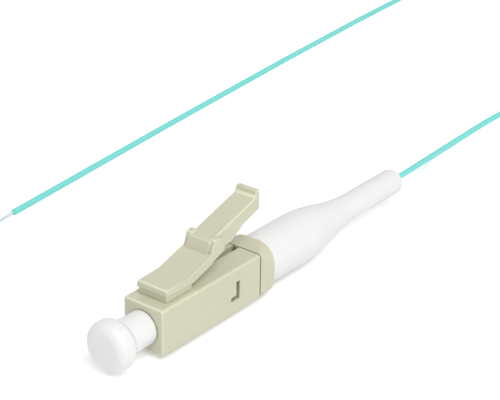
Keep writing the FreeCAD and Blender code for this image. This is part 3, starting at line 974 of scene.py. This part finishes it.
def round_off(
    mesh: bmesh.types.BMesh, edges: list[bmesh.types.BMEdge], radius: float, steps: int
) -> None:
    """Round some edges of a mesh.

    Args:
        mesh: mesh that is changed.
        edges: its edges to round.
        radius: width taken off either side of each.
        steps: number of facets across the rounding.
    """
    bmesh.ops.bevel(
        mesh, geom=edges, offset=radius, segments=steps, profile=0.5, affect="EDGES"
    )


# ---------------------------------------------------------------------------------------------
# The plug
# ---------------------------------------------------------------------------------------------


@dataclass
class PlugMoulding:
    """Square housing and the sprung latch that is moulded in one piece with it.

    Places along the plug count from its face, the throat's from the root's rear. Heights count from
    the deck, the step's from the arm below it.
    """

    # housing, seen as far as its seam
    shown_end: float = 0.01340
    # root block, the narrower neck that it stands on and the throat behind it
    root_front: float = 0.00115
    root_rear: float = 0.0046
    root_height: float = 0.0013
    root_bend: float = 0.0040
    root_round: float = 0.00025
    neck_height: float = 0.0006
    neck_inset: float = 0.00012
    throat: Place = (0.00048, 0.00069)
    throat_foot: float = 0.00022
    sunk: float = 0.0002
    # bending arm: its bend starts a little behind the root's bend line and ends behind the hinge
    hinge: float = 0.00495
    arm_radius: float = 0.00045
    arm_step: float = 0.0003
    arm_steps: int = 10
    steps_above_root: int = 4
    slope: float = math.radians(16.5)
    under_slope: float = math.radians(18.6)
    bend_lead: float = 0.0003
    bend_tail: float = 0.001
    # finger lever with its step, stop and upturned tab
    lever_width: float = 0.0025
    lever_round: float = 0.00022
    lever_depth: float = 0.0014
    step_front: float = 0.00705
    step_height: float = 0.0011
    step_run: float = 0.0004
    stop_front: float = 0.0094
    stop_rear: float = 0.0105
    stop_height: float = 0.00225
    stop_slant: float = 0.0017
    tab_rise: float = 0.00042
    tab_thickness: float = 0.00053
    tab_curve: float = 0.0003
    # locking ears beside the step
    ear_front: float = 0.0072
    ear_rear: float = 0.00905
    ear_height: float = 0.00362
    ear_fall: float = 0.0005
    ear_crown: float = 0.00105
    ear_round: float = 0.0004
    ear_bend: Place = (0.000048, 0.00014)
    ear_shoulder: Place = (0.00016, 0.000032)
    ear_ramp: float = 0.0004
    ear_bite: float = 0.00035
    ear_edge: float = 0.00018
    # rounding of every other edge
    edge: float = 0.00006

    def __post_init__(self) -> None:
        """Take the plug's face, the fibre's axis and what the latch reaches from the frame."""
        low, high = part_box("plug_housing")
        self.deck = (high[1] - low[1]) / 2
        self.origin = Vector((low[0], 0.0, low[2] + self.deck))
        low, high = corners("latch_lever", self.origin)
        self.root_width = high.y - low.y
        self.lever_end = high.x
        self.crown = self.deck + self.root_height
        rise = (self.hinge - self.root_bend) * math.tan(self.slope)
        self.hinge_up = self.crown + rise - self.arm_radius / math.cos(self.slope)

    def arm_top(self, along: float) -> float:
        """Height of the bending arm's upper face."""
        return self.crown + (along - self.root_bend) * math.tan(self.slope)

    def arm_under(self, along: float) -> float:
        """Height of the bending arm's lower face."""
        drop = self.arm_radius / math.cos(self.under_slope)
        return self.hinge_up - drop + (along - self.hinge) * math.tan(self.under_slope)

    def lever_top(self, along: float) -> float:
        """Height of the finger lever's upper face."""
        return self.arm_top(along) + self.step_height - self.step_run * math.tan(self.slope)

    def lever_under(self, along: float) -> float:
        """Height of the finger lever's lower face."""
        return self.lever_top(along) - self.lever_depth

    def neck_outline(self) -> list[Place]:
        """Side view of the narrower foot that the root block stands on.

        Returns:
            Its corners along the plug and up from the fibre's axis.
        """
        front = self.root_front + self.neck_inset
        low = self.deck - self.sunk
        high = self.deck + self.neck_height + self.neck_inset
        return [(front, low), (self.root_rear, low), (self.root_rear, high), (front, high)]

    def arm_outline(self) -> list[Place]:
        """Side view of the root block and the arm that springs from it.

        Returns:
            Its corners along the plug and up from the fibre's axis.
        """
        foot = self.step_front + self.step_run
        low = self.deck + self.neck_height
        stations = [
            self.root_bend + self.arm_step * step for step in range(1, self.arm_steps + 1)
        ]
        top = [(along, self.arm_top(along)) for along in stations]
        free = stations[self.steps_above_root :]
        under = [(along, self.arm_under(along)) for along in reversed(free)]
        return [
            (self.root_front, low),
            (self.root_front, self.crown),
            (self.root_bend, self.crown),
            *top,
            (foot, self.arm_top(foot)),
            (foot, self.arm_under(foot)),
            *under,
            (self.root_rear + self.throat[0], self.deck + self.throat[1]),
            (self.root_rear + self.throat_foot, low),
        ]

    def lever_outline(self) -> list[Place]:
        """Side view of the finger lever with its stop below and its upturned tab.

        Returns:
            Its corners along the plug and up from the fibre's axis.
        """
        foot = self.step_front + self.step_run
        face = self.lever_end - self.tab_thickness
        run = self.tab_curve * math.tan((math.pi / 2 - self.slope) / 2)
        toe = face - run * math.cos(self.slope)
        behind = self.stop_rear + self.stop_slant
        tab_top = self.lever_top(self.lever_end) + self.tab_rise
        return [
            (self.stop_front, self.arm_under(self.stop_front)),
            (self.stop_rear, self.deck + self.stop_height),
            (behind, self.lever_under(behind)),
            (self.lever_end, self.lever_under(self.lever_end)),
            (self.lever_end, tab_top),
            (face, tab_top),
            (face, self.lever_top(face) + run),
            (toe, self.lever_top(toe)),
            (foot, self.lever_top(foot)),
            (self.step_front, self.arm_top(self.step_front)),
            (self.step_front, self.arm_under(self.step_front)),
        ]

    def ear_outline(self) -> list[Place]:
        """Side view of a locking ear: steep front, rounded crown, falling top, upright rear.

        Returns:
            Its corners along the plug and up from the fibre's axis.
        """
        crown = self.deck + self.ear_height
        peak = (self.ear_front + self.ear_crown, crown)
        turn = (self.ear_front + self.ear_ramp, crown - self.ear_round)
        bend = (turn[0] + self.ear_bend[0], crown - self.ear_bend[1])
        shoulder = (peak[0] - self.ear_shoulder[0], crown - self.ear_shoulder[1])
        return [
            (self.ear_front, self.arm_under(self.ear_front)),
            (self.ear_rear, self.arm_under(self.ear_rear)),
            (self.ear_rear, crown - self.ear_fall),
            peak,
            shoulder,
            bend,
            turn,
            (self.ear_front, self.arm_top(self.ear_front)),
        ]

    def is_root_rim(self, start: Vector, end: Vector) -> bool:
        """Whether an edge is on the rim of the root block's level top.

        Args:
            start: one end, from the side views' zero.
            end: the other end.

        Returns:
            True for the front rim and the two side rims.
        """
        level = min(start.z, end.z) > self.crown - SAME_SPOT
        on_root = max(start.x, end.x) < self.root_bend + SAME_SPOT
        at_bend = min(start.x, end.x) > self.root_bend - SAME_SPOT
        return level and on_root and not at_bend

    def is_lever_side(self, start: Vector, end: Vector) -> bool:
        """Whether an edge runs along either side of the lever's top.

        Args:
            start: one end, from the side views' zero.
            end: the other end.

        Returns:
            True for the edges behind the step, the tab's among them.
        """
        foot = self.step_front + self.step_run
        beside = abs(start.y - end.y) < SAME_SPOT
        middle = (start + end) / 2
        high = middle.z > self.lever_top(middle.x) - self.lever_depth / 2
        return beside and high and max(start.x, end.x) > foot + SAME_SPOT

    def build_housing(self) -> None:
        """Show the housing below its deck and before its seam."""
        above = (self.origin + Vector((0.0, 0.0, self.deck)), Vector((0.0, 0.0, 1.0)))
        behind = (self.origin + Vector((self.shown_end, 0.0, 0.0)), Vector((1.0, 0.0, 0.0)))
        shell = cad_copy("plug_housing", [above, behind])
        housing = place_piece("housing_shell", shell, BEIGE)
        even_shading(housing)
        settle(housing, BEIGE, Body.ROOT, "plug_housing")

    def build_latch(self) -> None:
        """Make the latch with its root."""
        bar = Bar(self.origin)
        root, lever = self.root_width / 2, self.lever_width / 2
        neck, inner = root - self.neck_inset, lever - self.ear_bite
        bar.prism(self.neck_outline(), -neck, neck, self.edge / 2)
        bar.prism(
            self.arm_outline(), -root, root, self.edge, self.root_round, self.is_root_rim
        )
        bar.prism(
            self.lever_outline(), -lever, lever, self.edge, self.lever_round, self.is_lever_side
        )
        bar.prism(self.ear_outline(), -root, -inner, self.ear_edge)
        bar.prism(self.ear_outline(), inner, root, self.ear_edge)
        latch = place_piece("latch_arm", bar.finished("latch_arm"), BEIGE)
        even_shading(latch)
        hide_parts("latch_lever")
        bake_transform(latch)

    def build(self) -> None:
        """Make the housing and the latch."""
        self.build_housing()
        self.build_latch()


@dataclass
class Boot:
    """Soft strain relief: round shoulder, S-shaped taper and slim tail round the buffer."""

    radius: float = 0.00248
    base_round: float = 0.00015
    pocket_radius: float = 0.00159
    pocket_end: float = 0.0202
    shoulder: Place = (0.0210, 0.00253)
    neck: Place = (0.0312, 0.00134)
    tip_round: float = 0.00095
    bore: float = 0.00033

    def build(self, origin: Vector) -> None:
        """Turn the boot.

        Args:
            origin: where the plug's face meets the fibre's axis.
        """
        low, high = corners("boot", origin)
        base = (low.x + self.base_round, self.radius - self.base_round)
        tip = (high.x - self.tip_round, self.neck[1] - self.tip_round)
        side_view = [
            (low.x, self.pocket_radius),
            *arc(base, self.base_round, 180, 90),
            *s_bend(self.shoulder, self.neck),
            *arc(tip, self.tip_round, 90, 0),
            (high.x, self.bore),
            (self.pocket_end + self.pocket_radius, self.bore),
            (self.pocket_end, self.pocket_radius),
        ]
        piece = turned_piece("boot_shell", side_view, origin, WHITE_BOOT)
        settle(piece, WHITE_BOOT, Body.ROOT, "boot")


@dataclass
class DustCap:
    """Push-on cap: tube over the ferrule, flared neck and round knob."""

    bore: float = 0.000655
    bore_depth: float = 0.00435
    tube: Place = (-0.00245, 0.00161)
    knob_rear: float = -0.0037
    face_round: float = 0.00095
    lip: float = 0.00008

    def build(self, origin: Vector) -> None:
        """Turn the cap.

        Args:
            origin: where the plug's face meets the fibre's axis.
        """
        low, high = corners("dust_cap", origin)
        rim = (high.x - self.lip, self.tube[1] - self.lip)
        face = (low.x + self.face_round, high.y - self.face_round)
        side_view = [
            (high.x, self.bore),
            *arc(rim, self.lip, 0, 90, 4),
            *s_bend(self.tube, (self.knob_rear, high.y)),
            *arc(face, self.face_round, 90, 180, 12),
            (low.x, 0.0),
            (-self.bore_depth, 0.0),
            (-self.bore_depth, self.bore),
        ]
        piece = turned_piece("cap_shell", side_view, origin, WHITE_CAP)
        settle(piece, WHITE_CAP, Body.CAP, "dust_cap")


@dataclass
class FerruleSet:
    """Ceramic ferrule in its metal holder, pushed forward by a wire spring.

    Attributes:
        bore: radius of the hole for the fibre.
        lead: depth of the cone that leads the fibre in, and of the bevels.
        nose: length of the bevelled nose.
        spring_front: where the middle of the wire starts.
        spring_rear: where it ends.
        spring_radius: radius of the middle of the wire's turns.
        wire: radius of the wire.
        turns: turns of the spring.
        wire_steps: facets along one turn.
        wire_sides: facets round the wire.
        seat: where the spring stays put when it is squashed; not used.
        squashed: share of its length that it keeps then; not used.
    """

    bore: float = 0.0000725
    lead: float = 0.0002
    nose: float = 0.0003
    spring_front: float = 0.00307
    spring_rear: float = 0.00805
    spring_radius: float = 0.00105
    wire: float = 0.00013
    turns: float = 7.0
    wire_steps: int = 32
    wire_sides: int = 10
    seat: float = 0.00818
    squashed: float = 0.77

    def ferrule(self, origin: Vector) -> None:
        """Turn the ferrule with its bevelled nose and the cone that leads the fibre in.

        Args:
            origin: where the plug's face meets the fibre's axis.
        """
        low, high = corners("ferrule", origin)
        side_view = [
            (low.x, self.bore),
            (high.x - self.lead, self.bore),
            (high.x, self.bore + self.lead),
            (high.x, high.z - self.lead / 2),
            (high.x - self.lead / 2, high.z),
            (low.x + self.nose, high.z),
            (low.x, high.z - self.lead),
        ]
        piece = turned_piece("ferrule_shell", side_view, origin, CERAMIC, 64)
        settle(piece, CERAMIC, Body.FERRULE_SET, "ferrule")

    def spring(self, origin: Vector) -> None:
        """Wind the spring.

        Args:
            origin: where the plug's face meets the fibre's axis.
        """
        sizes = {
            "Start": origin + Vector((self.spring_front, 0.0, 0.0)),
            "Length": self.spring_rear - self.spring_front,
            "Turns": self.turns,
            "Radius": self.spring_radius,
            "Wire Radius": self.wire,
            "Steps": self.wire_steps,
            "Sides": self.wire_sides,
            "Finish": STEEL.material(),
        }
        mesh = grown("ferrule_wire", spring_group(), bpy.data.meshes.new("empty"), sizes)
        piece = place_piece("ferrule_wire", mesh, STEEL)
        settle(piece, STEEL, Body.ROOT, "ferrule_spring")
        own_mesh(piece)

    def build(self, origin: Vector) -> None:
        """Make the set.

        Args:
            origin: where the plug's face meets the fibre's axis.
        """
        self.ferrule(origin)
        self.spring(origin)
        dress_node("ferrule_holder", NICKEL, Body.FERRULE_SET)
        dress_node("glass_fibre", GLASS, Body.FERRULE_SET)
        dress_node("guide_tube", WAXY, Body.FERRULE_SET)
        dress_node("held_buffer", AQUA, Body.FERRULE_SET)


# ---------------------------------------------------------------------------------------------
# The pigtail
# ---------------------------------------------------------------------------------------------


@dataclass
class Pigtail:
    """Thin buffered fibre: out of the boot, through its put-away coil and round to a bared end.

    Attributes:
        diameter: thickness over the buffer.
        length: length from where it leaves the boot's bore to the stripped end; not used.
        coil_centre: middle of the coil on the surface.
        coil_radius: radius of the middle of its turns.
        coil_base: height of its lowest side.
        columns: turns beside each other.
        rows: turns on each other.
        full_turns: whole turns round the coil.
        turn_points: points in one turn.
        enters: direction from the middle at which the fibre enters.
        leaves: direction at which it leaves.
        shift: share of a turn in which the fibre moves over to the next one.
    """

    diameter: float = 0.0006
    length: float = 0.950
    coil_centre: Place = (0.0689, 0.0010)
    coil_radius: float = 0.0054
    coil_base: float = 0.0002
    columns: int = 4
    rows: int = 6
    full_turns: int = 22
    turn_points: int = 24
    enters: float = math.radians(-128.0)
    leaves: float = math.radians(-40.0)
    shift: float = 0.09

    def route_to_coil(self) -> list[Point]:
        """Listed route from inside the boot's tip to the coil.

        Returns:
            Its points in the part's frame.
        """
        return [
            (0.019375, 0.0, 0.00272),
            (0.0246, 0.00002, 0.00272),
            (0.0290, 0.00086, 0.00212),
            (0.0336, 0.00243, 0.0008),
            (0.0381, 0.00312, 0.0003),
            (0.0524, 0.00356, 0.0003),
            (0.0584, 0.00175, 0.0003),
            (0.0622, -0.00154, 0.00045),
        ]

    def route_from_coil(self) -> list[Point]:
        """Listed route from the coil to the stripped end.

        Returns:
            Its points in the part's frame.
        """
        return [
            (0.07585, -0.0005, 0.0010),
            (0.0829, 0.0080, 0.0003),
            (0.0914, 0.0145, 0.0003),
            (0.0969, 0.0235, 0.0003),
            (0.0974, 0.0335, 0.0003),
            (0.0914, 0.0393, 0.0003),
            (-0.005175, 0.02821, 0.0003),
        ]

    def cells(self) -> list[tuple[int, int]]:
        """Column and row of each turn in the order of winding: inwards below, then up and down.

        Returns:
            Pairs of column, counted outwards, and row, counted upwards.
        """
        order = [(column, 0) for column in reversed(range(self.columns))]
        for column in range(self.columns):
            rows = list(range(1, self.rows))
            if column % 2:
                rows.reverse()
            order += [(column, row) for row in rows]
        return order

    def coil_points(self) -> list[Point]:
        """Points of the put-away turns, which lie beside and on each other a diameter apart.

        Returns:
            The points in the part's frame, in the order of winding.
        """
        cells = self.cells()
        sweep = 2 * math.pi * self.full_turns + self.leaves - self.enters
        steps = round(sweep / (2 * math.pi) * self.turn_points)
        points = []
        for step in range(steps + 1):
            done = step / steps
            place = done * len(cells)
            number = min(int(place), len(cells) - 1)
            after = cells[min(number + 1, len(cells) - 1)]
            moved = max(0.0, (place - number - 1 + self.shift) / self.shift)
            moved = moved * moved * (3 - 2 * moved)
            column = cells[number][0] + (after[0] - cells[number][0]) * moved
            row = cells[number][1] + (after[1] - cells[number][1]) * moved
            radius = self.coil_radius + (column - (self.columns - 1) / 2) * self.diameter
            angle = self.enters + sweep * done
            points.append(
                (
                    self.coil_centre[0] + radius * math.cos(angle),
                    self.coil_centre[1] + radius * math.sin(angle),
                    self.coil_base + (row + 0.5) * self.diameter,
                )
            )
        return points

    def laid(self, points: list[Point]) -> bpy.types.Object:
        """Lay the buffered fibre as one smooth curve.

        Args:
            points: its points in the part's frame.

        Returns:
            The curve's object.
        """
        curve = bpy.data.curves.new("pigtail", "CURVE")
        curve.dimensions = "3D"
        curve.bevel_depth = self.diameter / 2
        curve.bevel_resolution = 3
        curve.resolution_u = 6
        curve.use_fill_caps = True
        spline = curve.splines.new("NURBS")
        spline.points.add(len(points) - 1)
        for point, place in zip(spline.points, points):
            point.co = (*place, 1.0)
        spline.order_u = 3
        spline.use_endpoint_u = True
        curve.materials.append(AQUA.material())
        cord = bpy.data.objects.new("pigtail", curve)
        bpy.context.scene.collection.objects.link(cord)
        LOG.info("pigtail: %d points", len(points))
        return cord

    def build(self) -> None:
        """Lay the pigtail and dress its tie and its bared end."""
        points = self.route_to_coil() + self.coil_points() + self.route_from_coil()
        cord = self.laid(points)
        settle(cord, AQUA, Body.ROOT, "cord_to_coil", "cord_coil", "cord_from_coil")
        tie = dress_node("coil_tie", TIE, Body.ROOT)
        bared = dress_node("coated_fibre", COATING, Body.ROOT)


# ---------------------------------------------------------------------------------------------
# Studio
# ---------------------------------------------------------------------------------------------


def shown_rays(tree: Tree) -> bpy.types.NodeSocket:
    """Mask of what the camera sees straight, in a reflection or through glass.

    Args:
        tree: tree that the nodes are added to.

    Returns:
        The mask.
    """
    rays = tree.add("ShaderNodeLightPath").outputs
    seen = tree.math("MAXIMUM", rays["Is Camera Ray"], rays["Is Glossy Ray"])
    return tree.math("MAXIMUM", seen, rays["Is Transmission Ray"])


@dataclass
class Studio:
    """Pale floor, soft lights and the camera."""

    eye: Point = (-0.100313, -0.074800, 0.067903)
    back: Point = (-0.717409, -0.548521, 0.429476)
    turn: float = math.radians(-52.5990)
    roll: float = math.radians(1.0973)
    lens: float = 108.87
    sensor: float = 36.0
    floor_size: float = 3.0
    floor_tone: Rgb = (0.9, 0.9, 0.9)
    floor_glow: float = 0.35
    daylight: float = 0.49

    def camera(self) -> None:
        """Camera that looks down at the plug's face and near side."""
        back = Vector(self.back).normalized()
        level = Vector((math.cos(self.turn), math.sin(self.turn), 0.0))
        upright = back.cross(level)
        right = math.cos(self.roll) * level + math.sin(self.roll) * upright
        up = math.cos(self.roll) * upright - math.sin(self.roll) * level
        turned = Matrix((right, up, back)).transposed().to_4x4()
        data = bpy.data.cameras.new("camera")
        data.lens = self.lens
        data.sensor_width = self.sensor
        data.clip_start = 0.001
        camera = bpy.data.objects.new("camera", data)
        camera.matrix_world = Matrix.Translation(self.eye) @ turned
        bpy.context.scene.collection.objects.link(camera)
        bpy.context.scene.camera = camera

    def floor(self) -> None:
        """Plain pale surface that the plug lies on."""
        half = self.floor_size / 2
        mesh = bpy.data.meshes.new("floor")
        corners = [(-half, -half, 0), (half, -half, 0), (half, half, 0), (-half, half, 0)]
        mesh.from_pydata(corners, [], [(0, 1, 2, 3)])
        floor = bpy.data.objects.new("floor", mesh)
        bpy.context.scene.collection.objects.link(floor)
        material, tree, shader = new_material("floor")
        shader.inputs["Base Color"].default_value = (*self.floor_tone, 1.0)
        shader.inputs["Roughness"].default_value = 0.9
        shader.inputs["Emission Color"].default_value = (1.0, 1.0, 1.0, 1.0)
        glow = tree.math("MULTIPLY", shown_rays(tree), self.floor_glow)
        tree.feed(shader.inputs["Emission Strength"], glow)
        mesh.materials.append(material)

    def light(self, name: str, place: Point, size: float, power: float) -> None:
        """Square soft light aimed at the plug.

        Args:
            name: name of the light.
            place: where it hangs.
            size: length of its side.
            power: its power in watts.
        """
        data = bpy.data.lights.new(name, "AREA")
        data.size = size
        data.energy = power
        lamp = bpy.data.objects.new(name, data)
        lamp.location = place
        aim = Vector((0.0, 0.0, 0.0)) - Vector(place)
        lamp.rotation_euler = aim.to_track_quat("-Z", "Y").to_euler()
        bpy.context.scene.collection.objects.link(lamp)

    def world(self) -> None:
        """Even pale light from all round, with a white background."""
        world = bpy.data.worlds.new("world")
        world.use_nodes = True
        tree = Tree(world.node_tree)
        background = world.node_tree.nodes["Background"]
        lift = tree.math("MULTIPLY", shown_rays(tree), 1.0 - self.daylight)
        strength = tree.math("ADD", self.daylight, lift)
        background.inputs["Color"].default_value = (1.0, 1.0, 1.0, 1.0)
        tree.feed(background.inputs["Strength"], strength)
        bpy.context.scene.world = world

    def build(self) -> None:
        """Set up the whole studio."""
        self.camera()
        self.floor()
        self.world()
        self.light("window", (-0.22, -0.38, 0.63), 0.4, 2.7)
        self.light("edges", (-0.26, 0.33, 0.43), 0.15, 0.12)
        self.light("fill", (-0.1, -0.6, 0.2), 0.5, 0.6)
        bpy.context.scene.view_settings.view_transform = "Standard"


def main() -> None:
    """Build every sub-assembly and the studio."""
    logging.basicConfig(level=logging.INFO, format="%(message)s")
    plug = PlugMoulding()
    plug.build()
    dress_node("rear_body", BEIGE_COLLAR, Body.ROOT)
    dress_node("boot_buffer", AQUA, Body.ROOT)
    Boot().build(plug.origin)
    FerruleSet().build(plug.origin)
    DustCap().build(plug.origin)
    Pigtail().build()
    Studio().build()


if __name__ == "__main__":
    main()
